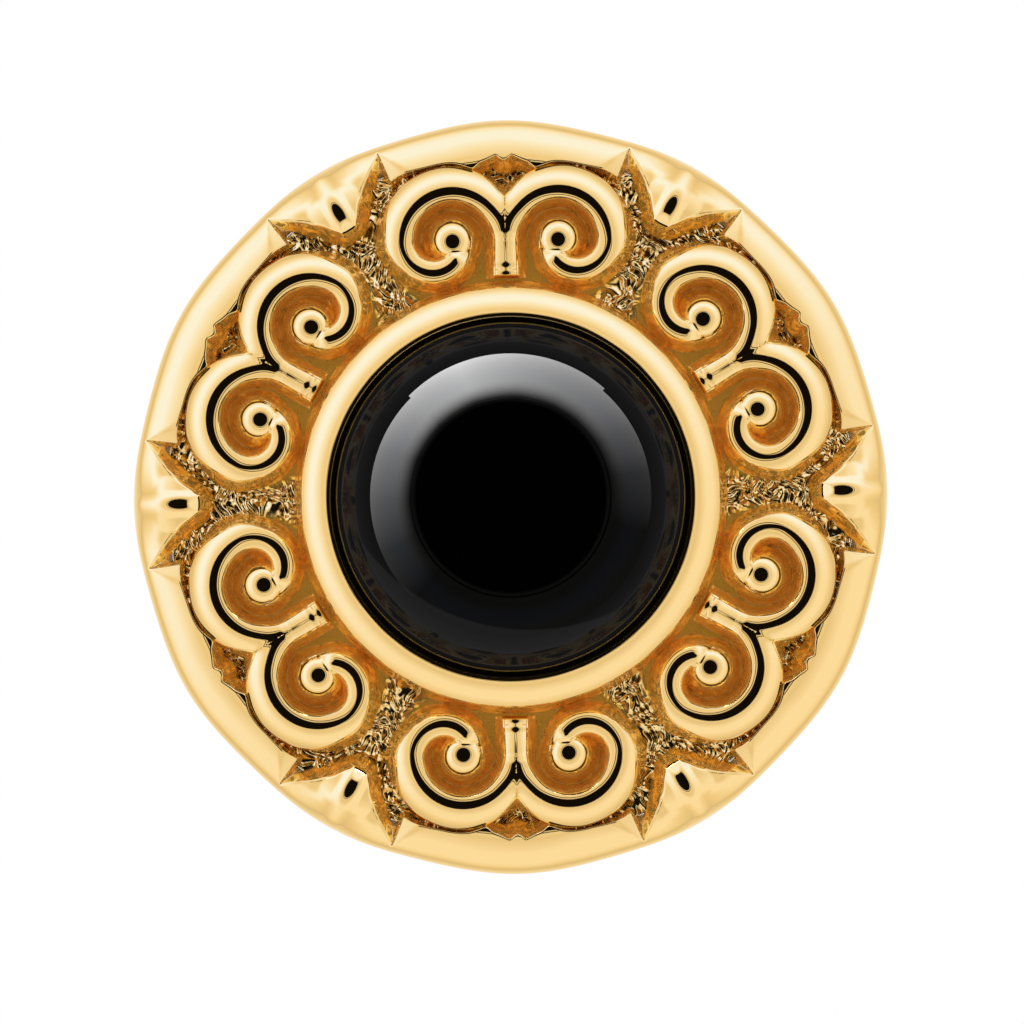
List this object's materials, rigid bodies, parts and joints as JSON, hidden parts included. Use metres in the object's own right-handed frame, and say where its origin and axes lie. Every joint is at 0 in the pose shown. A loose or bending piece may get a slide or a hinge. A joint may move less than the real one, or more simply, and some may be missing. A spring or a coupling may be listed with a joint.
{
  "type": "finger ring",
  "caption": "Finger ring with a broad round gold head: a domed black cabochon in a smooth bezel, ringed by curled ram's-horn scrolls inside a rounded, scalloped rim.",
  "frame": {"origin": "centre of the finger bore", "axes": "+Y along the finger bore, +Z out through the middle of the face, X across the hand"},
  "size_m": [0.0264, 0.0264, 0.0277],
  "materials": {
    "polished_gold": "polished",
    "chased_gold": "chased and tooled",
    "black_onyx": "polished"
  },
  "bodies": {
    "root": {"shank": "polished_gold", "back_plate": "polished_gold", "outer_rim": "polished_gold", "ground_plate": "chased_gold", "bezel_collar": "polished_gold", "bezel_bearing": "polished_gold", "onyx_cabochon": "black_onyx", "scroll_pair_1": "polished_gold", "scroll_pair_2": "polished_gold", "scroll_pair_3": "polished_gold", "scroll_pair_4": "polished_gold", "scroll_pair_5": "polished_gold", "scroll_pair_6": "polished_gold"}
  },
  "joints": []
}
